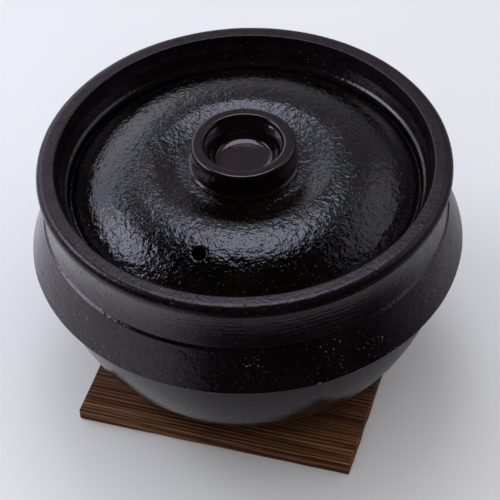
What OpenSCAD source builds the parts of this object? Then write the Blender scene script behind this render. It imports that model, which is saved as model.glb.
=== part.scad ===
// Lidded earthenware rice pot on a square cedar board.
// The board's underside is at z = 0 and the pot's axis is the Z axis.
// Pot sizes are heights above its foot; lids and knobs are drawn in place.

/* [Board] */
// Side of the square board
board_side = 160; // [145:1:180]
// Thickness of the board
board_t = 8; // [7:0.5:12]
// Radius of the board's upright corners
board_corner_r = 2.5; // [1:0.5:6]
// Radius of the board's long edges
board_edge_r = 1.2; // [0.5:0.1:2]

/* [Pot bowl] */
// Radius of the round belly of the bowl, outside
belly_r = 111; // [110.5:0.1:112]
// Height of the belly's centre above the foot
belly_z = 93.6; // [93:0.1:94]
// How far the belly's centre of curvature stands off the axis
belly_x = 2; // [1:0.1:3]
// Wall thickness of the bowl
wall = 8; // [7:0.1:9]
// Radius of the ring that the pot stands on
foot_r = 64.5; // [62:0.1:66]
// Height of the foot ring below the bowl
foot_h = 3; // [2.5:0.1:4]
// Thickness of the bowl's floor above the foot plane
floor_t = 9; // [8:0.1:11]
// Radius of the curve between the inner floor and the wall
floor_fillet = 30; // [20:1:40]

/* [Flange and collar] */
// Radius of the flange's sharp edge, the widest place
flange_r = 120; // [119:0.1:122]
// Height of the flange's edge above the foot
flange_z = 87; // [86:0.1:88]
// Radius of the flange where it meets the groove
flange_top_r = 111.9; // [111.5:0.1:112.5]
// Height of the groove above the flange's edge
groove_z = 25; // [23:0.1:26]
// Depth of the groove
groove_depth = 1.9; // [1:0.1:2.5]
// Radius of the collar just above the groove
collar_r = 111; // [110.5:0.1:111.4]
// How far the collar's wall is hollowed between groove and lip
collar_hollow = 0.9; // [0:0.1:1.5]
// Outer radius of the lip
lip_r = 113.2; // [112.8:0.1:115]
// Height of the lip's outer face
lip_h = 6.4; // [5:0.1:8]
// Inner radius of the lip
mouth_r = 102.8; // [102:0.1:104]
// Height of the lip above the flange's edge
rim_z = 56.5; // [55:0.1:58]

/* [Seats] */
// Height of the outer lid's seat above the flange's edge
outer_seat_z = 31; // [30:0.1:32]
// Radius of the well that holds the outer lid
outer_well_r = 97; // [96.8:0.1:97.4]
// Height of the small shelf beside the outer lid, above its seat
shelf_h = 10.2; // [9:0.1:12]
// Height of the inner lid's seat above the flange's edge
inner_seat_z = 14; // [13:0.1:16]
// Radius of the well that holds the inner lid
inner_well_r = 90; // [89.5:0.1:90.5]
// Radius of the opening inside the inner seat
throat_r = 83; // [81:0.1:84]

/* [Lids] */
// Play between a lid's edge and its well
lid_play = 0.8; // [0.5:0.1:1.5]
// Gap between a lid's underside and its seat
seat_gap = 0.1; // [0.05:0.05:0.3]
// Thickness of the outer lid
outer_lid_t = 6.8; // [6:0.1:7.5]
// Thickness of the outer lid's upright edge
outer_lid_edge = 6.3; // [5.5:0.1:7]
// Rise of the outer lid's crown above its edge
crown_rise = 18; // [16:0.1:19]
// Radius where the crown starts to fall towards the edge
crown_r = 52; // [50:0.5:54]
// Radius of the ridge round the trough
ridge_r = 49; // [46:0.5:50]
// Depth of the trough between the ridge and the knob
trough_depth = 2.4; // [1.5:0.1:2.6]
// Diameter of the outer lid's steam hole
steam_d = 7.6; // [6:0.1:9]
// Distance of the steam hole from the axis
steam_r = 71.5; // [60:0.5:75]
// Direction of the steam hole, seen from above
steam_angle = -92.3; // [-180:0.1:180]
// Thickness of the inner lid
inner_lid_t = 6; // [5:0.1:7]
// Rise of the inner lid's middle above its edge
inner_lid_rise = 4; // [2:0.1:5]
// Diameter of the inner lid's steam holes
inner_steam_d = 8; // [6:0.1:10]
// Distance of the inner lid's steam holes from the axis
inner_steam_r = 45; // [35:0.5:60]

/* [Knobs] */
// Radius of the ring knob where it meets the lid
knob_foot_r = 29.7; // [28:0.1:31]
// Radius of the ring knob at its top
knob_top_r = 28.5; // [28:0.1:29]
// Height of the ring knob
knob_h = 15.1; // [14:0.1:16]
// Inner radius of the ring knob's rounded rim
dish_top_r = 21.9; // [21.5:0.1:22.5]
// Radius of the flat bottom of the knob's dish
dish_floor_r = 11.2; // [10:0.1:12]
// Height of the dish's flat bottom above the lid
dish_floor_z = 3.1; // [2.5:0.1:4]
// Radius of the inner lid's button knob
button_r = 13; // [11:0.1:15]
// Height of the inner lid's button knob
button_h = 13; // [11:0.1:14]

/* [Hidden] */
$fn = 96;

// Radii of crisp, softened and rounded clay edges
crisp = 0.5;
soft = 0.8;
full = 1.2;

// Half height of the groove's mouth, and the straight land above it
groove_half = 0.9;
groove_land = 0.7;
// Height of the fillet under the flange
undercut_h = 9;
// Width and depth of the hollow inside the foot ring
foot_ring_w = 13;
foot_hollow = 1.2;
// Radii of the lip's outer shoulder and of the cove above the shelf
lip_round = 4.6;
shelf_round = 4;
// Width of the sloping shelf, and how far the collar tapers above it
shelf_w = 1.6;
collar_taper = 1.8;
// Thickness of the inner seat's tip, and depth of the sloping stretch under it
seat_tip = 4.6;
seat_slope = 21;
// Width of the slope between trough and ridge, and the radius that rounds its ends
slope_w = 12;
slope_round = 20;
// Radius of the curve from the dish's flat bottom to its wall, and the tilt it reaches
dish_curve = 13;
dish_tilt = 18;

foot_z = board_t;
edge_z = foot_z + flange_z;

outer_lid_r = outer_well_r - lid_play;
inner_lid_r = inner_well_r - lid_play;
outer_lid_z = edge_z + outer_seat_z + seat_gap;
inner_lid_z = edge_z + inner_seat_z + seat_gap;
outer_edge_z = outer_lid_z + outer_lid_edge;
crown_z = outer_edge_z + crown_rise;
knob_z = crown_z - trough_depth;
dish_wall_r = dish_floor_r + dish_curve * sin(dish_tilt);
button_z = inner_lid_z + inner_lid_t + inner_lid_rise;

// Points along an arc about centre c, from angle a0 to angle a1
function arc(c, r, a0, a1, steps = 24) =
    [for (i = [0 : steps]) let (a = a0 + (a1 - a0) * i / steps) c + r * [cos(a), sin(a)]];

// Points from p to q along a shallow bow that stands off by sag to the left
function bow(p, q, sag, steps = 12) =
    let (side = [p[1] - q[1], q[0] - p[0]] / norm(q - p))
    [for (i = [0 : steps]) let (t = i / steps) p + (q - p) * t + side * sag * 4 * t * (1 - t)];

// The place of an outline point, without its corner radius
function place(p) = [p[0], p[1]];

// Corner b between a and c, rounded to a radius of b[2] where it has one
function corner(a, b, c, steps = 6) =
    len(b) < 3 ? [b] :
    let (
        u = (place(a) - place(b)) / norm(place(a) - place(b)),
        v = (place(c) - place(b)) / norm(place(c) - place(b)),
        half = acos(u * v) / 2,
        mid = (u + v) / norm(u + v),
        centre = place(b) + mid * b[2] / sin(half),
        from = place(b) + u * b[2] / tan(half) - centre,
        turn = (180 - 2 * half) * (cross(u, v) > 0 ? -1 : 1)
    )
    [for (i = [0 : steps]) let (t = turn * i / steps)
        centre + [from[0] * cos(t) - from[1] * sin(t), from[0] * sin(t) + from[1] * cos(t)]];

// Closed outline with each [x, y, radius] corner rounded
function rounded(path) =
    let (n = len(path))
    [for (i = [0 : n - 1]) each corner(path[(i + n - 1) % n], path[i], path[(i + 1) % n])];

// Radius of a round belly at height z
function belly_at(r, z) = belly_x + sqrt(r * r - pow(z - belly_z, 2));

// Edge-on outline of the board, with its long edges rounded
module board_profile() {
    half = board_side / 2;
    polygon(rounded([[-half, 0, board_edge_r], [half, 0, board_edge_r],
        [half, board_t, board_edge_r], [-half, board_t, board_edge_r]]));
}

module trivet_board() {
    color("#5a3a24")
    intersection() {
        linear_extrude(board_t)
            polygon(rounded([for (c = [[-1, -1], [1, -1], [1, 1], [-1, 1]])
                [c[0] * board_side / 2, c[1] * board_side / 2, board_corner_r]]));
        for (turn = [0, 90])
            rotate([90, 0, turn])
                linear_extrude(2 * board_side, center = true)
                    board_profile();
    }
}

// Outside of the pot, from the middle of its foot up to the lip's top
function pot_outside() =
    let (
        hollow_r = foot_r - foot_ring_w,
        under_z = flange_z - undercut_h,
        under_r = belly_at(belly_r, under_z),
        groove = flange_z + groove_z,
        rim = flange_z + rim_z
    )
    concat(
        [[0, foot_hollow], [hollow_r, foot_hollow, crisp], [hollow_r + 1.5, 0, crisp],
            [foot_r - 1, 0, soft], [foot_r, foot_h, soft]],
        arc([belly_x, belly_z], belly_r,
            asin((foot_h - belly_z) / belly_r), asin((under_z - belly_z) / belly_r), 36),
        [[under_r + 0.6, under_z + 1.4], [under_r + 2, under_z + 3.1],
            [flange_r - crisp, flange_z - 0.6, crisp], [flange_r, flange_z + 0.3, 0.4],
            [flange_top_r, groove - groove_half, crisp],
            [flange_top_r - groove_depth, groove, 0.2],
            [collar_r, groove + groove_half, crisp]],
        bow([collar_r, groove + groove_half + groove_land], [collar_r + 0.6, rim - lip_h - 2],
            collar_hollow),
        [[collar_r + soft, rim - lip_h - soft, soft], [lip_r, rim - lip_h + 0.6, full],
            [lip_r, rim, lip_round]]
    );

// Inside of the pot, from the lip's top down to the middle of its floor
function pot_inside() =
    let (
        inner_r = belly_r - wall,
        seat = flange_z + outer_seat_z,
        low = flange_z + inner_seat_z,
        shelf = seat + shelf_h,
        slope_z = low - seat_slope,
        floor_x = belly_x + sqrt(pow(inner_r - floor_fillet, 2) - pow(belly_z - floor_t - floor_fillet, 2)),
        join = atan2(floor_t + floor_fillet - belly_z, floor_x - belly_x)
    )
    concat(
        [[mouth_r, flange_z + rim_z, full],
            [mouth_r - collar_taper, shelf + 6, shelf_round],
            [outer_well_r + shelf_w, shelf + 0.6, 2.2],
            [outer_well_r, shelf - 0.6, soft],
            [outer_well_r, seat, crisp],
            [inner_well_r, seat, crisp],
            [inner_well_r, low, crisp],
            [throat_r, low, full],
            [throat_r + 1, low - seat_tip, 2],
            [belly_at(inner_r, slope_z) - 0.5, slope_z + 1.5, 6]],
        arc([belly_x, belly_z], inner_r, asin((slope_z - 6 - belly_z) / inner_r), join, 36),
        arc([floor_x, floor_t + floor_fillet], floor_fillet, join, -90, 12),
        [[0, floor_t]]
    );

module pot_body() {
    color("#2b2728")
    translate([0, 0, foot_z])
        rotate_extrude()
            polygon(rounded(concat(pot_outside(), pot_inside())));
}

// Half-section of the outer lid: crown arc and trough on top, a parallel arc below
function outer_lid_outline() =
    let (
        reach = outer_lid_r - full - crown_r,
        crown_arc = (reach * reach + crown_rise * crown_rise) / (2 * crown_rise),
        centre = [crown_r, crown_z - crown_arc],
        under_arc = crown_arc - outer_lid_t,
        rim_angle = asin((outer_lid_z - centre[1]) / under_arc)
    )
    concat(
        [[0, crown_z - outer_lid_t]],
        arc(centre, under_arc, 90, rim_angle, 24),
        [[outer_lid_r, outer_lid_z, soft], [outer_lid_r, outer_edge_z, soft]],
        arc(centre, crown_arc, acos(reach / crown_arc), 90, 36),
        [[ridge_r, crown_z, slope_round], [ridge_r - slope_w, knob_z, slope_round], [0, knob_z]]
    );

module outer_lid() {
    color("#241f20")
    difference() {
        rotate_extrude()
            polygon(rounded(outer_lid_outline()));
        rotate([0, 0, steam_angle])
            translate([steam_r, 0, outer_lid_z])
                cylinder(h = crown_rise + outer_lid_edge + 1, d = steam_d);
    }
}

// Half-section of the ring knob, from the dish's flat floor round the rim to the foot
function knob_outline() =
    concat(
        [[0, 0], [knob_foot_r, 0], [knob_foot_r, soft, crisp]],
        bow([knob_foot_r - 1, 1.8], [knob_top_r, knob_h - 3], soft),
        [[knob_top_r, knob_h, full], [dish_top_r, knob_h, full]],
        bow([dish_top_r - 0.9, knob_h - 2.2], [dish_wall_r + soft, dish_floor_z + 1.6], -soft),
        arc([dish_floor_r, dish_floor_z + dish_curve], dish_curve, dish_tilt - 90, -90, 6),
        [[0, dish_floor_z]]
    );

module outer_lid_knob() {
    color("#241f20")
    translate([0, 0, knob_z])
        rotate_extrude()
            polygon(rounded(knob_outline()));
}

// Half-section of the inner lid: a shallow dish turned upside down
function inner_lid_outline() =
    let (
        top = inner_lid_z + inner_lid_t,
        flat_r = throat_r - 1.5,
        middle_r = button_r + 4
    )
    concat(
        [[0, inner_lid_z + inner_lid_rise], [middle_r, inner_lid_z + inner_lid_rise, 12],
            [flat_r - 10, inner_lid_z, 20],
            [inner_lid_r, inner_lid_z, soft], [inner_lid_r, top, full],
            [flat_r, top, 12], [middle_r, top + inner_lid_rise, 12],
            [0, top + inner_lid_rise]]
    );

module inner_lid() {
    color("#2f2a2a")
    difference() {
        rotate_extrude()
            polygon(rounded(inner_lid_outline()));
        for (side = [-1, 1])
            translate([side * inner_steam_r, 0, inner_lid_z - 1])
                cylinder(h = inner_lid_t + inner_lid_rise + 2, d = inner_steam_d);
    }
}

module inner_lid_knob() {
    color("#2f2a2a")
    translate([0, 0, button_z])
        rotate_extrude()
            polygon(rounded([[0, 0], [button_r - 2, 0], [button_r - 4, button_h * 0.4, 2],
                [button_r, button_h * 0.7, 1.5], [button_r - 1, button_h, 2.5], [0, button_h - 0.8]]));
}

trivet_board();
pot_body();
inner_lid();
inner_lid_knob();
outer_lid();
outer_lid_knob();
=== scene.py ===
"""A near-black glazed rice pot with a sunken ring-knob lid, standing on a scorched cedar board."""
import math

import bmesh
import bpy
import numpy as np
from mathutils import Matrix, Vector


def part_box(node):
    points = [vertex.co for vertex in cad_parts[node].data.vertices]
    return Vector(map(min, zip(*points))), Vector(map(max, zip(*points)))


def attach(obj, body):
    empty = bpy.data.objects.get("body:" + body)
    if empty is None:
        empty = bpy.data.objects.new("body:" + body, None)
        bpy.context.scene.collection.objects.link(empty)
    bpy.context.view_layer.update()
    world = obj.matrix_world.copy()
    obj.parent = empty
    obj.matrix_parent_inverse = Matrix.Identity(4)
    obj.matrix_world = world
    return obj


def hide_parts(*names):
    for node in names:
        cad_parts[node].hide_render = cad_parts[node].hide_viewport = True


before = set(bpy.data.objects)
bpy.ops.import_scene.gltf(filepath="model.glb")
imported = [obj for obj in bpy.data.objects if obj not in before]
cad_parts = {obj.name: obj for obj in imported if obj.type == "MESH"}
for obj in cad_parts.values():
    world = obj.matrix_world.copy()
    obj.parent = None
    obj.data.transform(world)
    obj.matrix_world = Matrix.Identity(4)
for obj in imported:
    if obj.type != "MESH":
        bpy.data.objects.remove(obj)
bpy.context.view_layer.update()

MM = 0.001
SEED = 11

# ---------------------------------------------------------------- places read from the CAD, in millimetres


def span(node):
    """Lowest and highest corner of a CAD node, in millimetres."""
    low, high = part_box(node)
    return np.array(low) / MM, np.array(high) / MM


board_low, board_high = span("trivet_board")
pot_low, pot_high = span("pot_body")
lid_low, lid_high = span("outer_lid")
knob_low, knob_high = span("outer_lid_knob")
inner_low, inner_high = span("inner_lid")
button_low, _ = span("inner_lid_knob")

FOOT_Z = pot_low[2]
RIM_Z = pot_high[2]
FLANGE_R = 120.0
FLANGE_Z = FOOT_Z + 87.0
CROWN_Z = lid_high[2]

# ---------------------------------------------------------------- outlines


def arc(centre, radius, a0, a1, steps=24):
    """Points on an arc, angles in degrees."""
    a = np.radians(np.linspace(a0, a1, steps + 1))
    return [(centre[0] + radius * math.cos(t), centre[1] + radius * math.sin(t)) for t in a]


def bow(p, q, sag, steps=12):
    """Points from p to q on a shallow bow that stands off by sag to the left."""
    p, q = np.array(p, float), np.array(q, float)
    side = np.array([p[1] - q[1], q[0] - p[0]]) / np.linalg.norm(q - p)
    return [tuple(p + (q - p) * t + side * sag * 4 * t * (1 - t)) for t in np.linspace(0, 1, steps + 1)]


def corner(a, b, c, steps=8):
    """Corner b between a and c, rounded to the radius b[2] where it has one."""
    if len(b) < 3:
        return [b]
    here = np.array(b[:2])
    u, v = np.array(a[:2]) - here, np.array(c[:2]) - here
    u, v = u / np.linalg.norm(u), v / np.linalg.norm(v)
    half = math.acos(float(np.clip(u @ v, -1, 1))) / 2
    centre = here + (u + v) / np.linalg.norm(u + v) * b[2] / math.sin(half)
    start = here + u * b[2] / math.tan(half) - centre
    turn = (math.pi - 2 * half) * (-1 if u[0] * v[1] - u[1] * v[0] > 0 else 1)
    points = []
    for t in np.linspace(0, turn, steps + 1):
        x = start[0] * math.cos(t) - start[1] * math.sin(t)
        y = start[0] * math.sin(t) + start[1] * math.cos(t)
        points.append((centre[0] + x, centre[1] + y))
    return points


def rounded(path, closed=True):
    """The path with its corners rounded. An open path keeps its two ends as they are."""
    out = []
    for i, b in enumerate(path):
        if not closed and i in (0, len(path) - 1):
            out.append(b[:2])
        else:
            out += corner(path[i - 1], b, path[(i + 1) % len(path)])
    return out


def fine(points, spacing):
    """The outline cut into stretches no longer than spacing(r, z)."""
    out = [points[0]]
    for p, q in zip(points, points[1:]):
        length = math.hypot(q[0] - p[0], q[1] - p[1])
        if length < 1e-6:
            continue
        pieces = max(1, math.ceil(length / spacing((p[0] + q[0]) / 2, (p[1] + q[1]) / 2)))
        for k in range(1, pieces + 1):
            t = k / pieces
            out.append((p[0] + (q[0] - p[0]) * t, p[1] + (q[1] - p[1]) * t))
    return np.array(out)


CRISP, SOFT, FULL = 0.5, 0.8, 1.2
BELLY = (2.0, FOOT_Z + 93.6)
BELLY_R, WALL = 111.0, 8.0


def belly_at(radius, z):
    """Radius of a round belly at height z."""
    return BELLY[0] + math.sqrt(radius ** 2 - (z - BELLY[1]) ** 2)


def pot_outline():
    """Half-section of the pot from the middle of its foot, over the lip, to the middle of its floor."""
    foot_r, foot_h = 64.5, 3.0
    under_z = FLANGE_Z - 9.0
    under_r = belly_at(BELLY_R, under_z)
    top_r, groove = 111.9, FLANGE_Z + 25.0
    collar_r, lip_r, lip_h, mouth_r = 111.0, 113.2, 6.4, 102.8
    low_angle = math.degrees(math.asin((FOOT_Z + foot_h - BELLY[1]) / BELLY_R))
    high_angle = math.degrees(math.asin((under_z - BELLY[1]) / BELLY_R))
    inner_r = BELLY_R - WALL
    seat, low = FLANGE_Z + 31.0, FLANGE_Z + 14.0
    shelf, well_r, inner_well_r, throat_r = seat + 10.2, 97.0, 90.0, 83.0
    slope_z = low - 21.0
    floor_z, fillet = FOOT_Z + 9.0, 30.0
    floor_x = BELLY[0] + math.sqrt((inner_r - fillet) ** 2 - (BELLY[1] - floor_z - fillet) ** 2)
    join = math.degrees(math.atan2(floor_z + fillet - BELLY[1], floor_x - BELLY[0]))
    inner_high_angle = math.degrees(math.asin((slope_z - 6.0 - BELLY[1]) / inner_r))
    path = [(0, FOOT_Z + 1.2), (foot_r - 13, FOOT_Z + 1.2, CRISP), (foot_r - 11.5, FOOT_Z, CRISP),
            (foot_r - 1, FOOT_Z, SOFT), (foot_r, FOOT_Z + foot_h, SOFT)]
    path += arc(BELLY, BELLY_R, low_angle, high_angle, 90)
    path += [(under_r + 0.6, under_z + 1.4), (under_r + 2, under_z + 3.1),
             (FLANGE_R - 0.5, FLANGE_Z - 0.6, CRISP), (FLANGE_R, FLANGE_Z + 0.3, 0.4),
             (top_r, groove - 0.9, CRISP), (top_r - 1.9, groove, 0.2), (collar_r, groove + 0.9, CRISP)]
    path += bow((collar_r, groove + 1.6), (collar_r + 0.6, RIM_Z - lip_h - 2), 0.9, 24)
    path += [(collar_r + SOFT, RIM_Z - lip_h - SOFT, SOFT), (lip_r, RIM_Z - lip_h + 0.6, FULL),
             (lip_r, RIM_Z, 4.6), (mouth_r, RIM_Z, FULL), (mouth_r - 1.8, shelf + 6, 4.0),
             (well_r + 1.6, shelf + 0.6, 2.2), (well_r, shelf - 0.6, SOFT), (well_r, seat, CRISP),
             (inner_well_r, seat, CRISP), (inner_well_r, low, CRISP), (throat_r, low, FULL),
             (throat_r + 1, low - 4.6, 2.0), (belly_at(inner_r, slope_z) - 0.5, slope_z + 1.5, 6.0)]
    path += arc(BELLY, inner_r, inner_high_angle, join, 60)
    path += arc((floor_x, floor_z + fillet), fillet, join, -90, 20)
    path += [(0, floor_z)]
    return rounded(path, closed=False)


def outer_lid_outline():
    """Half-section of the outer lid from the middle of its underside to the middle of its top."""
    lid_r = 96.2
    lid_z = lid_low[2]
    edge_z = lid_z + 6.3
    rise, thick, crown_r, ridge_r, slope_w, trough = 18.0, 6.8, 52.0, 49.0, 12.0, 2.4
    reach = lid_r - FULL - crown_r
    crown_arc = (reach ** 2 + rise ** 2) / (2 * rise)
    centre = (crown_r, CROWN_Z - crown_arc)
    rim_angle = math.degrees(math.asin((lid_z - centre[1]) / (crown_arc - thick)))
    path = [(0, CROWN_Z - thick)] + arc(centre, crown_arc - thick, 90, rim_angle, 40)
    path += [(lid_r, lid_z, SOFT), (lid_r, edge_z, SOFT)]
    path += arc(centre, crown_arc, math.degrees(math.acos(reach / crown_arc)), 90, 90)
    path += [(ridge_r, CROWN_Z, 20.0), (ridge_r - slope_w, CROWN_Z - trough, 20.0), (0, CROWN_Z - trough)]
    return rounded(path, closed=False)


def knob_outline():
    """Half-section of the ring knob from its foot, over the rim, to the middle of its dish."""
    z0, z1 = knob_low[2], knob_high[2]
    foot_r, top_r, dish_r, floor_r, floor_z = 29.7, 28.5, 21.9, 11.2, z0 + 3.1
    curve, tilt = 13.0, 18.0
    wall_r = floor_r + curve * math.sin(math.radians(tilt))
    path = [(0, z0), (foot_r + 0.4, z0), (foot_r + 0.7, z0 + 1.0, CRISP), (foot_r - 0.8, z0 + 1.5, 0.4)]
    path += bow((foot_r - 1, z0 + 1.8), (top_r, z1 - 3), SOFT, 16)
    path += [(top_r, z1, 2.0), (dish_r, z1, 2.0)]
    path += bow((dish_r - 0.9, z1 - 2.2), (wall_r + SOFT, floor_z + 1.6), -SOFT, 16)
    path += arc((floor_r, floor_z + curve), curve, tilt - 90, -90, 10)
    path += [(0, floor_z)]
    return rounded(path, closed=False)


def inner_lid_outline():
    """Half-section of the inner lid from the middle of its underside to the middle of its top."""
    z0 = inner_low[2]
    thick, rise, lid_r, flat_r, middle_r = 6.0, 4.0, 89.2, 81.5, 17.0
    path = [(0, z0 + rise), (middle_r, z0 + rise, 12.0), (flat_r - 10, z0, 20.0), (lid_r, z0, SOFT),
            (lid_r, z0 + thick, FULL), (flat_r, z0 + thick, 12.0), (middle_r, z0 + thick + rise, 12.0),
            (0, z0 + thick + rise)]
    return rounded(path, closed=False)


def button_outline():
    """Half-section of the inner lid's button knob from its foot to the middle of its top."""
    z0, r, h = button_low[2], 13.0, 13.0
    path = [(0, z0), (r - 2, z0), (r - 4, z0 + h * 0.4, 2.0), (r, z0 + h * 0.7, 1.5),
            (r - 1, z0 + h, 2.5), (0, z0 + h - 0.8)]
    return rounded(path, closed=False)


# ---------------------------------------------------------------- meshes


def lattice_noise(points, size, seed):
    """Smooth noise from -1 to 1 at points (millimetres), with lumps about size across."""
    cells = 48
    values = np.random.default_rng(seed).uniform(-1, 1, (cells, cells, cells))
    p = points / size
    base = np.floor(p).astype(int)
    f = p - base
    f = f * f * (3 - 2 * f)
    total = np.zeros(len(points))
    for corner_index in range(8):
        step = [(corner_index >> k) & 1 for k in range(3)]
        index = [(base[:, k] + step[k]) % cells for k in range(3)]
        weight = np.ones(len(points))
        for k in range(3):
            weight *= f[:, k] if step[k] else 1 - f[:, k]
        total += values[index[0], index[1], index[2]] * weight
    return total


def smooth_steps(x, low, high):
    """0 below low, 1 above high, and a smooth rise between."""
    t = np.clip((x - low) / (high - low), 0, 1)
    return t * t * (3 - 2 * t)


def outline_normals(outline):
    """Outward normals of an outline that runs from the lower axis point round to the upper one."""
    ahead = np.gradient(outline, axis=0)
    normal = np.stack([ahead[:, 1], -ahead[:, 0]], 1)
    return normal / np.maximum(np.linalg.norm(normal, axis=1), 1e-9)[:, None]


def turned(name, outline, segments, relief=None):
    """A closed turned mesh. relief(points, normals) gives how far each point stands out, in millimetres."""
    normals = outline_normals(outline)
    angle = np.linspace(0, 2 * math.pi, segments, endpoint=False)
    ring = outline[1:-1]
    ring_normals = normals[1:-1]
    c, s = np.cos(angle), np.sin(angle)
    points = np.stack([ring[:, :1] * c, ring[:, :1] * s, ring[:, 1:] * np.ones_like(c)], -1).reshape(-1, 3)
    outward = np.stack([ring_normals[:, :1] * c, ring_normals[:, :1] * s,
                        ring_normals[:, 1:] * np.ones_like(c)], -1).reshape(-1, 3)
    poles = [[0, 0, outline[0][1]], [0, 0, outline[-1][1]]]
    verts = np.concatenate([points, poles])
    outward = np.concatenate([outward, [[0, 0, -1], [0, 0, 1]]])
    if relief is not None:
        verts = verts + outward * relief(verts, outward)[:, None]
    rows, n = len(ring), segments
    a = np.arange(n)
    b = (a + 1) % n
    quads = [np.stack([k * n + a, k * n + b, (k + 1) * n + b, (k + 1) * n + a], 1) for k in range(rows - 1)]
    faces = np.concatenate(quads).tolist()
    start, end = rows * n, rows * n + 1
    faces += [[start, int(j), int(i)] for i, j in zip(a, b)]
    last = (rows - 1) * n
    faces += [[end, int(last + i), int(last + j)] for i, j in zip(a, b)]
    mesh = bpy.data.meshes.new(name)
    mesh.from_pydata((verts * MM).tolist(), [], faces)
    mesh.update()
    return add_mesh(name, mesh)


def add_mesh(name, mesh):
    """Links a smooth-shaded mesh to the scene as an object."""
    piece = bpy.data.objects.new(name, mesh)
    bpy.context.scene.collection.objects.link(piece)
    mesh.polygons.foreach_set("use_smooth", [True] * len(mesh.polygons))
    return piece


def cut_hole(piece, x, y, radius, z0, z1):
    """Cuts an upright round hole through a piece, places in millimetres."""
    sides = 48
    angle = np.linspace(0, 2 * math.pi, sides, endpoint=False)
    ring = np.stack([x + radius * np.cos(angle), y + radius * np.sin(angle)], 1)
    verts = [(px, py, z) for z in (z0, z1) for px, py in ring]
    faces = [[i, (i + 1) % sides, sides + (i + 1) % sides, sides + i] for i in range(sides)]
    faces += [list(range(sides))[::-1], list(range(sides, 2 * sides))]
    mesh = bpy.data.meshes.new("cutter")
    mesh.from_pydata((np.array(verts) * MM).tolist(), [], faces)
    cutter = bpy.data.objects.new("cutter", mesh)
    bpy.context.scene.collection.objects.link(cutter)
    cut = piece.modifiers.new("hole", "BOOLEAN")
    cut.operation, cut.solver, cut.object = "DIFFERENCE", "EXACT", cutter
    graph = bpy.context.evaluated_depsgraph_get()
    done = bpy.data.meshes.new_from_object(piece.evaluated_get(graph))
    piece.modifiers.clear()
    old = piece.data
    piece.data = done
    bpy.data.meshes.remove(old)
    bpy.data.objects.remove(cutter)
    weld = bmesh.new()
    weld.from_mesh(done)
    bmesh.ops.remove_doubles(weld, verts=weld.verts, dist=0.002 * MM)
    weld.to_mesh(done)
    weld.free()
    done.set_sharp_from_angle(angle=math.radians(50))


# ---------------------------------------------------------------- relief of the clay


def pot_relief(points, normals):
    """Unevenness of hand-turned clay: slow waves, throwing lines on the collar, a grain on the flange."""
    r = np.hypot(points[:, 0], points[:, 1])
    theta = np.arctan2(points[:, 1], points[:, 0]) / (2 * math.pi)
    z = points[:, 2]
    outside = smooth_steps(r, 98.5, 101) * smooth_steps(z, FOOT_Z + 4, FOOT_Z + 12)
    slow = 0.14 * lattice_noise(points, 34, SEED) + 0.05 * lattice_noise(points, 9, SEED + 1)
    swell = 0.5 + 0.5 * lattice_noise(points, 22, SEED + 2)
    lines = lattice_noise(points * [0.06, 0.06, 1], 1.6, SEED + 3)
    lines += 0.6 * np.sin(2 * math.pi * (z / 3.1 + theta) + 3 * lattice_noise(points, 18, SEED + 10))
    collar = smooth_steps(z, FLANGE_Z + 28, FLANGE_Z + 31) * (1 - smooth_steps(z, RIM_Z - 10, RIM_Z - 8))
    bowl = 1 - smooth_steps(z, FLANGE_Z - 16, FLANGE_Z - 10)
    flange = smooth_steps(z, FLANGE_Z + 1, FLANGE_Z + 3)
    flange *= 1 - smooth_steps(z, FLANGE_Z + 22, FLANGE_Z + 23.5)
    grain = lattice_noise(points, 2.6, SEED + 4)
    out = slow + 0.05 * lines * swell * collar + 0.025 * lines * swell * bowl
    out += 0.06 * grain * (flange + 0.6 * collar + 0.3 * bowl)
    widest = 0.2
    return (out - widest) * outside


def lid_relief(points, normals):
    """Orange-peel surface of the lid's thick glaze, on its upper side."""
    up = smooth_steps(normals[:, 2], 0.25, 0.6)
    peel = 0.07 * lattice_noise(points, 4.2, SEED + 5) + 0.075 * lattice_noise(points, 2.0, SEED + 6)
    slow = 0.10 * lattice_noise(points, 22, SEED + 7)
    r = np.hypot(points[:, 0], points[:, 1])
    calm = 0.3 + 0.7 * smooth_steps(r, 32, 50)
    hole = np.hypot(points[:, 0] - HOLE_X, points[:, 1] - HOLE_Y)
    funnel = 1 - smooth_steps(hole, HOLE_R - 0.5, HOLE_R + 1.2)
    seated = smooth_steps(r, 29.7, 31)
    return ((peel * calm + slow - 0.2) * seated - 0.35 * funnel ** 2) * up


def knob_relief(points, normals):
    """Slow unevenness of the knob, and a run of glaze at its foot."""
    z = points[:, 2] - knob_low[2]
    slow = 0.12 * lattice_noise(points, 13, SEED + 8) - 0.12
    theta = np.arctan2(points[:, 1], points[:, 0])
    round_foot = np.stack([30 * np.cos(theta), 30 * np.sin(theta), 0 * theta], 1)
    ragged = 0.25 * lattice_noise(round_foot, 6, SEED + 9)
    foot = (1 - smooth_steps(z, 0.6, 2.6)) * smooth_steps(z, 0.0, 0.3)
    return slow * smooth_steps(z, 0.1, 1.0) + (ragged - 0.25) * foot


# ---------------------------------------------------------------- materials


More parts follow.
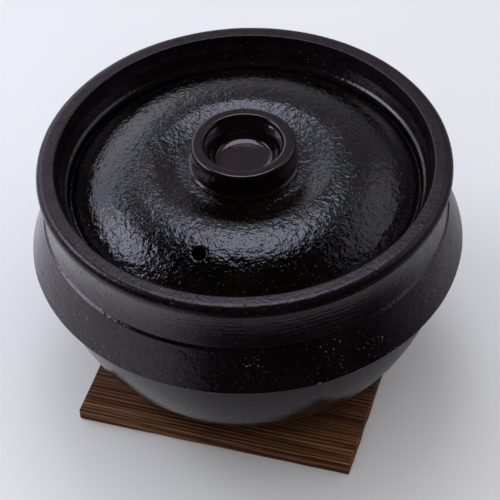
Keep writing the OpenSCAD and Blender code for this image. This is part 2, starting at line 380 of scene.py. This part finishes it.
class Nodes:
    """Small helper that adds nodes to a tree and links them."""

    def __init__(self, tree):
        self.tree = tree

    def add(self, kind, inputs=(), **settings):
        node = self.tree.nodes.new(kind)
        for key, value in settings.items():
            setattr(node, key, value)
        for key, value in dict(inputs).items():
            self.put(node.inputs[key], value)
        return node

    def put(self, socket, value):
        if isinstance(value, bpy.types.NodeSocket):
            self.tree.links.new(value, socket)
        else:
            socket.default_value = value

    def math(self, operation, a, b=0.0, clamp=False):
        return self.add("ShaderNodeMath", {0: a, 1: b}, operation=operation, use_clamp=clamp).outputs[0]

    def ramp(self, value, low, high, out_low=0.0, out_high=1.0):
        """Smooth change from out_low to out_high as value goes from low to high."""
        inputs = {"Value": value, "From Min": low, "From Max": high, "To Min": out_low, "To Max": out_high}
        return self.add("ShaderNodeMapRange", inputs, interpolation_type="SMOOTHSTEP").outputs["Result"]

    def noise(self, place, scale, detail=3.0, roughness=0.55):
        return self.add("ShaderNodeTexNoise", {"Vector": place, "Scale": scale, "Detail": detail,
                        "Roughness": roughness}).outputs["Fac"]

    def moved(self, place, offset=(0, 0, 0), scale=(1, 1, 1)):
        inputs = {"Vector": place, "Location": offset, "Scale": scale}
        return self.add("ShaderNodeMapping", inputs).outputs["Vector"]

    def mix(self, factor, a, b):
        node = self.add("ShaderNodeMix", data_type="RGBA")
        self.put(node.inputs["Factor"], factor)
        self.put(node.inputs["A"], a)
        self.put(node.inputs["B"], b)
        return node.outputs["Result"]

    def bump(self, height, distance, strength=1.0, normal=None):
        inputs = {"Height": height, "Distance": distance, "Strength": strength}
        if normal is not None:
            inputs["Normal"] = normal
        return self.add("ShaderNodeBump", inputs).outputs["Normal"]

    def dots(self, place, cell, radius, share, offset):
        """1 inside scattered round spots: cell and radius in metres, share of the cells that have one."""
        voronoi = self.add("ShaderNodeTexVoronoi", {"Vector": self.moved(place, offset), "Scale": 1 / cell})
        chosen = self.math("LESS_THAN", self.add("ShaderNodeSeparateColor",
                           {"Color": voronoi.outputs["Color"]}).outputs["Red"], share)
        spot = self.ramp(voronoi.outputs["Distance"], radius / cell * 0.55, radius / cell, 1.0, 0.0)
        return self.math("MULTIPLY", spot, chosen)


def new_material(name, roughness_default=0.4):
    """A material with a Principled shader, its node helper and the place in the object's frame."""
    material = bpy.data.materials.new(name)
    material.use_nodes = True
    tree = material.node_tree
    shader = tree.nodes["Principled BSDF"]
    shader.inputs["Roughness"].default_value = roughness_default
    nodes = Nodes(tree)
    place = nodes.add("ShaderNodeTexCoord").outputs["Object"]
    return material, shader, nodes, place


def glaze(name, deep, warm, gloss, peel, pits, specks, tint, rim_dull=0.0):
    """Black glaze over coarse clay, with pits, and with pale specks that gather on the flange.
    deep and warm: the two colours it drifts between; gloss: roughness low and high;
    peel: height in metres of the orange-peel relief; pits and specks: share of cells that have one;
    tint: colour of its reflections; rim_dull: extra roughness and less shine at the pot's rim."""
    material, shader, nodes, place = new_material(name)
    drift = nodes.noise(place, 38, 4)
    cloud = nodes.ramp(drift, 0.38, 0.66)
    colour = nodes.mix(cloud, deep, warm)
    pit = nodes.dots(place, 4.2 * MM, 0.62 * MM, pits, (0.13, 0.07, 0.02))
    small_pit = nodes.dots(place, 2.6 * MM, 0.36 * MM, pits, (0.31, 0.17, 0.05))
    cluster = nodes.ramp(nodes.noise(place, 50, 3), 0.44, 0.58)
    speck = nodes.dots(place, 3.0 * MM, 0.55 * MM, specks, (0.53, 0.23, 0.11))
    fleck = nodes.dots(place, 1.7 * MM, 0.30 * MM, specks, (0.17, 0.41, 0.29))
    ragged = nodes.ramp(nodes.noise(place, 1900, 2), 0.44, 0.60)
    height = nodes.add("ShaderNodeSeparateXYZ", {"Vector": place}).outputs["Z"]
    flange = nodes.math("MULTIPLY", nodes.ramp(height, (FLANGE_Z - 3) * MM, FLANGE_Z * MM),
                        nodes.ramp(height, (FLANGE_Z + 24) * MM, (FLANGE_Z + 34) * MM, 1.0, 0.0))
    elsewhere = 0.2
    where = nodes.math("ADD", nodes.math("MULTIPLY", flange, 1 - elsewhere), elsewhere)
    cluster = nodes.math("MULTIPLY", cluster, where)
    spots = nodes.math("ADD", speck, fleck, clamp=True)
    pale = nodes.math("MULTIPLY", spots, nodes.math("MULTIPLY", cluster, ragged))
    bare_clay, feldspar = (0.002, 0.0014, 0.0014, 1), (0.42, 0.41, 0.44, 1)
    colour = nodes.mix(pit, colour, bare_clay)
    colour = nodes.mix(nodes.math("MULTIPLY", pale, 0.9), colour, feldspar)
    nodes.put(shader.inputs["Base Color"], colour)
    patches = nodes.noise(place, 120, 5, 0.6)
    rough = nodes.ramp(patches, 0.3, 0.72, gloss[0], gloss[1])
    rough = nodes.math("ADD", rough, nodes.math("MULTIPLY", pit, 0.35), clamp=True)
    rim_low, rim_high = (RIM_Z - 6) * MM, (RIM_Z - 3) * MM
    rough = nodes.math("ADD", rough, nodes.ramp(height, rim_low, rim_high, 0.0, rim_dull), clamp=True)
    nodes.put(shader.inputs["Roughness"], rough)
    broad = nodes.noise(place, 330, 2, 0.5)
    small = nodes.noise(place, 700, 2, 0.5)
    skin = nodes.math("ADD", nodes.math("MULTIPLY", broad, 0.6), nodes.math("MULTIPLY", small, 0.4))
    normal = nodes.bump(skin, peel * 2)
    hollow = nodes.math("MULTIPLY", nodes.math("ADD", pit, small_pit, clamp=True), -1.0)
    normal = nodes.bump(hollow, 0.4 * MM, 1.0, normal)
    nodes.put(shader.inputs["Normal"], normal)
    if rim_dull > 0:
        full = 0.5
        level = nodes.ramp(height, rim_low, rim_high, full, full - rim_dull)
        nodes.put(shader.inputs["Specular IOR Level"], level)
    shader.inputs["IOR"].default_value = 1.52
    shader.inputs["Specular Tint"].default_value = tint
    return material


def scorched_wood(name):
    """Cedar scorched and brushed: dark grain along X, paler soft wood between."""
    material, shader, nodes, place = new_material(name)
    wander = nodes.noise(nodes.moved(place, (0, 0, 0), (3, 14, 14)), 1.0, 2)
    spread = nodes.add("ShaderNodeSeparateXYZ", {"Vector": place})
    across = nodes.math("ADD", spread.outputs["Y"], nodes.math("MULTIPLY", wander, 0.012))
    across = nodes.math("ADD", across, nodes.math("MULTIPLY", spread.outputs["Z"], 0.35))
    ring_turn = 2500.0
    rings = nodes.math("SINE", nodes.math("MULTIPLY", across, ring_turn))
    streak = nodes.noise(nodes.moved(place, (0.1, 0.6, 0), (7, 620, 620)), 1.0, 4, 0.6)
    ring = nodes.ramp(nodes.math("ADD", nodes.math("MULTIPLY", rings, 0.09), streak), 0.36, 0.64)
    fibre = nodes.noise(nodes.moved(place, (0.4, 0, 0), (22, 1250, 1250)), 1.0, 4, 0.65)
    strand = nodes.ramp(fibre, 0.38, 0.64)
    broad = nodes.noise(nodes.moved(place, (0.7, 0.2, 0), (4, 60, 60)), 1.0, 2, 0.5)
    band = nodes.ramp(broad, 0.40, 0.66)
    dark = (0.034, 0.0115, 0.0055, 1)
    mid = (0.145, 0.058, 0.026, 1)
    pale = (0.38, 0.18, 0.085, 1)
    colour = nodes.mix(strand, mid, pale)
    colour = nodes.mix(nodes.math("MULTIPLY", ring, 0.9), colour, dark)
    colour = nodes.mix(nodes.math("MULTIPLY", band, 0.35), colour, dark)
    nodes.put(shader.inputs["Base Color"], colour)
    nodes.put(shader.inputs["Roughness"], nodes.ramp(strand, 0, 1, 0.62, 0.48))
    height = nodes.math("ADD", nodes.math("MULTIPLY", ring, 0.6), nodes.math("MULTIPLY", fibre, 0.6))
    nodes.put(shader.inputs["Normal"], nodes.bump(height, 0.5 * MM))
    shader.inputs["Specular IOR Level"].default_value = 0.12
    return material


# ---------------------------------------------------------------- pieces


def stands_for(piece, node, body, material):
    """The piece is shown in place of a CAD node and moves with that node's body."""
    piece.data.materials.append(material)
    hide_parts(node)
    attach(piece, body)
    return piece


def edge_steps(half, radius, spacing):
    """Places along one side of the board, close together where its edges are rounded."""
    curve = half - radius + radius * np.sin(np.radians(np.linspace(0, 90, 6)))
    middle = np.linspace(-(half - radius), half - radius, max(2, round(2 * (half - radius) / spacing)) + 1)
    return np.concatenate([-curve[:0:-1], middle, curve[1:]])


def board_grain(x, y, z):
    """Depth in millimetres of the brushed grain, which runs along X."""
    line = np.stack([x * 0.02, y, z], 1)
    return 0.16 * lattice_noise(line, 1.9, SEED + 20) + 0.08 * lattice_noise(line, 4.5, SEED + 21) - 0.24


def trivet_piece():
    """The board: a slab with rounded edges, worn corners and brushed grain."""
    half = (board_high - board_low) / 2
    middle = (board_high + board_low) / 2
    radius = 1.2
    spacings = (4.0, 0.8, 1.6)
    lines = [edge_steps(half[axis], radius, spacings[axis]) for axis in range(3)]
    verts, faces, seen = [], [], {}

    def vertex(i, j, k):
        key = (i, j, k)
        if key not in seen:
            seen[key] = len(verts)
            verts.append((lines[0][i], lines[1][j], lines[2][k]))
        return seen[key]

    last = [len(line) - 1 for line in lines]
    for axis in range(3):
        u, v = [(1, 2), (2, 0), (0, 1)][axis]
        for end in (0, last[axis]):
            for a in range(last[u]):
                for b in range(last[v]):
                    loop = []
                    for da, db in ((0, 0), (1, 0), (1, 1), (0, 1)):
                        index = [0, 0, 0]
                        index[axis], index[u], index[v] = end, a + da, b + db
                        loop.append(vertex(*index))
                    faces.append(loop if end else loop[::-1])
    p = np.array(verts)
    core = np.clip(p, -(half - radius), half - radius)
    away = p - core
    length = np.linalg.norm(away, axis=1)
    p = core + away / np.maximum(length, 1e-9)[:, None] * np.minimum(length, radius)[:, None]
    inner = p / half
    lean = np.clip((np.abs(p) - (half - radius)) / radius, 0, 1)
    depth = board_grain(p[:, 0], p[:, 1], p[:, 2])
    ends = 0.25 * lattice_noise(p, 11, SEED + 22) - 0.25
    p[:, 2] += np.where(lean[:, 2] > 0, depth * lean[:, 2] * np.sign(inner[:, 2]), 0)
    p[:, 1] += (depth + ends) * lean[:, 1] * np.sign(inner[:, 1])
    p[:, 0] += (ends * 1.2) * lean[:, 0] * np.sign(inner[:, 0])
    p += middle
    mesh = bpy.data.meshes.new("cedar_board")
    mesh.from_pydata((p * MM).tolist(), [], faces)
    mesh.update()
    return add_mesh("cedar_board", mesh)


HOLE_R, HOLE_OUT = 3.8, 71.5
HOLE_TURN = math.radians(-92.3)
HOLE_X, HOLE_Y = HOLE_OUT * math.cos(HOLE_TURN), HOLE_OUT * math.sin(HOLE_TURN)


def pot_spacing(r, z):
    """Fine where the pot is seen from outside, coarse inside."""
    if r > 96.5 and z > FLANGE_Z - 4:
        return 0.75
    return 1.8 if r > 100 or z < FOOT_Z + 6 else 3.5


def lid_spacing(r, z):
    """Fine on the lid's upper side."""
    knob_r, crown_r, edge_r = 29, 44, 92
    falling = CROWN_Z - (r - crown_r) ** 2 / 145 - 3.4
    on_top = z > CROWN_Z - 5.5 or r > edge_r or z > falling
    return 0.9 if on_top and r > knob_r else 3.0


def make_pieces():
    """All the pieces that show, each standing for its CAD node."""
    plum, blue = (1.0, 0.86, 1.0, 1), (0.86, 0.88, 1.0, 1)
    pot_glaze = glaze("pot_glaze", (0.0028, 0.0011, 0.0017, 1), (0.0058, 0.0023, 0.0034, 1),
                      (0.12, 0.21), 0.00013, 0.7, 0.75, plum, 0.12)
    lid_glaze = glaze("lid_glaze", (0.0010, 0.0005, 0.0006, 1), (0.0042, 0.0016, 0.0015, 1),
                      (0.03, 0.08), 0.00028, 0.85, 0.3, blue)
    knob_glaze = glaze("knob_glaze", (0.0030, 0.0011, 0.0017, 1), (0.0062, 0.0024, 0.0032, 1),
                       (0.09, 0.16), 0.00004, 0.12, 0.04, plum)
    inner_glaze = glaze("inner_lid_glaze", (0.010, 0.007, 0.007, 1), (0.022, 0.015, 0.013, 1),
                        (0.30, 0.45), 0.00004, 0.2, 0.1, plum)
    cedar = scorched_wood("scorched_cedar")
    stands_for(trivet_piece(), "trivet_board", "trivet", cedar)
    pot = turned("rice_pot", fine(pot_outline(), pot_spacing), 512, pot_relief)
    stands_for(pot, "pot_body", "pot", pot_glaze)
    lid = turned("domed_lid", fine(outer_lid_outline(), lid_spacing), 620, lid_relief)
    cut_hole(lid, HOLE_X, HOLE_Y, HOLE_R, lid_low[2] - 2, CROWN_Z + 4)
    stands_for(lid, "outer_lid", "outer_lid_unit", lid_glaze)
    knob = turned("ring_knob", fine(knob_outline(), lambda r, z: 0.6), 256, knob_relief)
    stands_for(knob, "outer_lid_knob", "outer_lid_unit", knob_glaze)
    inner = turned("inner_lid_dish", fine(inner_lid_outline(), lambda r, z: 2.0), 256)
    hole_x, hole_r = 45.0, 4.0
    for side in (-1, 1):
        cut_hole(inner, side * hole_x, 0, hole_r, inner_low[2] - 2, inner_high[2] + 2)
    stands_for(inner, "inner_lid", "inner_lid_unit", inner_glaze)
    button = turned("inner_lid_button", fine(button_outline(), lambda r, z: 0.8), 128)
    stands_for(button, "inner_lid_knob", "inner_lid_unit", inner_glaze)


make_pieces()

# ---------------------------------------------------------------- camera

CAMERA_TURN = math.radians(-71.4)
CAMERA_RISE = math.radians(44.81)
CAMERA_DISTANCE = 1.1945
CAMERA_PAN, CAMERA_TILT, CAMERA_ROLL = -0.0008, -0.0085, math.radians(2.72)
SENSOR, LENS = 36.0, 153.9


def make_camera():
    """A long lens from above the front, leaning a little to the left."""
    centre = Vector((0, 0, FLANGE_Z * MM))
    level = math.cos(CAMERA_RISE)
    out = Vector((level * math.cos(CAMERA_TURN), level * math.sin(CAMERA_TURN), math.sin(CAMERA_RISE)))
    ahead = -out
    right = Vector((-math.sin(CAMERA_TURN), math.cos(CAMERA_TURN), 0))
    up = right.cross(ahead)
    pan = Matrix.Rotation(CAMERA_PAN, 3, up)
    ahead, right = pan @ ahead, pan @ right
    tilt = Matrix.Rotation(CAMERA_TILT, 3, right)
    ahead, up = tilt @ ahead, tilt @ up
    roll = Matrix.Rotation(CAMERA_ROLL, 3, ahead)
    right, up = roll @ right, roll @ up
    data = bpy.data.cameras.new("camera")
    data.lens, data.sensor_width = LENS, SENSOR
    data.clip_start, data.clip_end = 0.05, 50
    camera = bpy.data.objects.new("camera", data)
    bpy.context.scene.collection.objects.link(camera)
    turn = Matrix((right, up, -ahead)).transposed().to_4x4()
    camera.matrix_world = Matrix.Translation(centre + out * CAMERA_DISTANCE) @ turn
    bpy.context.scene.camera = camera


make_camera()

# ---------------------------------------------------------------- floor and light


def studio_direction(azimuth, elevation):
    """Direction in degrees: azimuth 0 is straight behind the pot for the camera and 90 is to its right."""
    turn = CAMERA_TURN + math.pi - math.radians(azimuth)
    rise = math.radians(elevation)
    return Vector((math.cos(rise) * math.cos(turn), math.cos(rise) * math.sin(turn), math.sin(rise)))


def soft_light(name, azimuth, elevation, distance, half_wide, half_high, radiance, colour):
    """A soft box that faces the pot; half_wide and half_high are angles in degrees."""
    data = bpy.data.lights.new(name, "AREA")
    data.shape = "RECTANGLE"
    data.size = 2 * distance * math.tan(math.radians(half_wide))
    data.size_y = 2 * distance * math.tan(math.radians(half_high))
    data.energy = radiance * math.pi * data.size * data.size_y
    data.color = colour
    light = bpy.data.objects.new(name, data)
    bpy.context.scene.collection.objects.link(light)
    out = studio_direction(azimuth, elevation)
    centre = Vector((0, 0, RIM_Z * MM))
    light.location = centre + out * distance
    light.rotation_mode = "QUATERNION"
    light.rotation_quaternion = (-out).to_track_quat("-Z", "Y")
    light.visible_camera = False
    return light


def make_floor():
    """A pale floor in two parts. Only the near part shows in the glaze, with painted shade there: darker in
    front and on the right, in reflections only.
    """
    material, shader, nodes, place = new_material("pale_floor", 0.75)
    tone = nodes.ramp(nodes.noise(place, 3, 2), 0.3, 0.7)
    reach = nodes.add("ShaderNodeVectorMath", {0: place}, operation="LENGTH").outputs["Value"]

    def toward(azimuth, low, high, out_low, out_high):
        """Change of value as the way from the pot turns to the azimuth; low and high are cosines."""
        dot = nodes.add("ShaderNodeVectorMath", {0: place, 1: tuple(studio_direction(azimuth, 0))},
                        operation="DOT_PRODUCT").outputs["Value"]
        return nodes.ramp(nodes.math("DIVIDE", dot, reach), low, high, out_low, out_high)

    # Painted shade in reflections: glossy rays alone see the floor darkened to half away from the left, and
    # to black in front beyond 0.24 m, standing in for the pot's shadow and a dark room in front.
    painted_shade = toward(-75, -0.1, 0.65, 0.5, 0.0)
    front_shade = nodes.math("MULTIPLY", toward(165, 0.2, 0.8, 0.0, 1.0), nodes.ramp(reach, 0.13, 0.24))
    painted_shade = nodes.math("MULTIPLY", painted_shade, nodes.math("ADD", front_shade, 1.0))
    in_glaze = nodes.add("ShaderNodeLightPath").outputs["Is Glossy Ray"]
    pale, black = nodes.mix(tone, (0.755, 0.76, 0.785, 1), (0.77, 0.775, 0.80, 1)), (0, 0, 0, 1)
    shown = nodes.mix(nodes.math("MULTIPLY", painted_shade, in_glaze), pale, black)
    nodes.put(shader.inputs["Base Color"], shown)
    shader.inputs["Emission Color"].default_value = (0.97, 0.98, 1.0, 1)
    shader.inputs["Emission Strength"].default_value = 0.03
    shader.inputs["Specular IOR Level"].default_value = 0.2
    close, wide, far, sides = 0.40, 2.6, 9.0, 144
    angle = np.linspace(0, 2 * math.pi, sides, endpoint=False)
    circle = np.stack([np.cos(angle), np.sin(angle), 0 * angle], 1)
    back_left = studio_direction(-55, 0)
    off_left = np.degrees(np.arccos(np.clip(np.cos(angle - math.atan2(back_left.y, back_left.x)), -1, 1)))
    edge = circle * (wide + (close - wide) * smooth_steps(off_left, 60, 115))[:, None]
    near_faces = [list(range(sides))]
    far_faces = [[i, sides + i, sides + (i + 1) % sides, (i + 1) % sides] for i in range(sides)]
    far_verts = np.concatenate([edge, circle * far])
    parts = [("floor_near", edge, near_faces), ("floor_far", far_verts, far_faces)]
    for name, verts, faces in parts:
        mesh = bpy.data.meshes.new(name)
        mesh.from_pydata(verts.tolist(), [], faces)
        floor = bpy.data.objects.new(name, mesh)
        bpy.context.scene.collection.objects.link(floor)
        mesh.materials.append(material)
        floor.visible_glossy = name == "floor_near"


def make_world():
    """Dim room light, brighter behind and to the left; a plain pale backdrop for the camera."""
    world = bpy.data.worlds.new("studio")
    bpy.context.scene.world = world
    world.use_nodes = True
    nodes = Nodes(world.node_tree)
    ground = world.node_tree.nodes["Background"]
    place = nodes.add("ShaderNodeTexCoord").outputs["Generated"]

    def toward(azimuth, elevation, low, high):
        """0 to 1 as a direction comes nearer to the given one; low and high are cosines."""
        aim = tuple(studio_direction(azimuth, elevation))
        dot = nodes.add("ShaderNodeVectorMath", {0: place, 1: aim}, operation="DOT_PRODUCT").outputs["Value"]
        return nodes.ramp(dot, low, high)

    dark, side, back = (0.012, 0.011, 0.012, 1), (0.24, 0.23, 0.25, 1), (0.50, 0.49, 0.53, 1)
    room = nodes.mix(toward(-25, 12, 0.65, 0.97), side, back)
    room = nodes.mix(toward(180, 20, -0.15, 0.5), room, dark)
    room = nodes.mix(toward(0, 90, 0.80, 0.95), room, dark)
    backdrop = (0.70, 0.71, 0.74, 1)
    camera_ray = nodes.add("ShaderNodeLightPath").outputs["Is Camera Ray"]
    nodes.put(ground.inputs["Color"], nodes.mix(camera_ray, room, backdrop))


make_floor()
make_world()
WINDOW, NEUTRAL = (0.90, 0.94, 1.04), (1.0, 0.985, 0.97)
soft_light("overhead_box", 0, 67, 1.5, 12, 14, 4.2, WINDOW)
soft_light("left_window", -76, 42, 1.5, 14, 9, 4.8, WINDOW)
soft_light("left_wall", -42, 27, 1.9, 30, 14, 1.1, WINDOW)
soft_light("right_reflector", 67, 40, 1.6, 22, 13, 0.65, NEUTRAL)
ceiling = soft_light("ceiling_fill", 180, 72, 2.0, 40, 38, 1.2, NEUTRAL)
ceiling.visible_glossy = False

view = bpy.context.scene.view_settings
view.view_transform, view.look, view.exposure, view.gamma = "Standard", "None", 0.0, 1.0
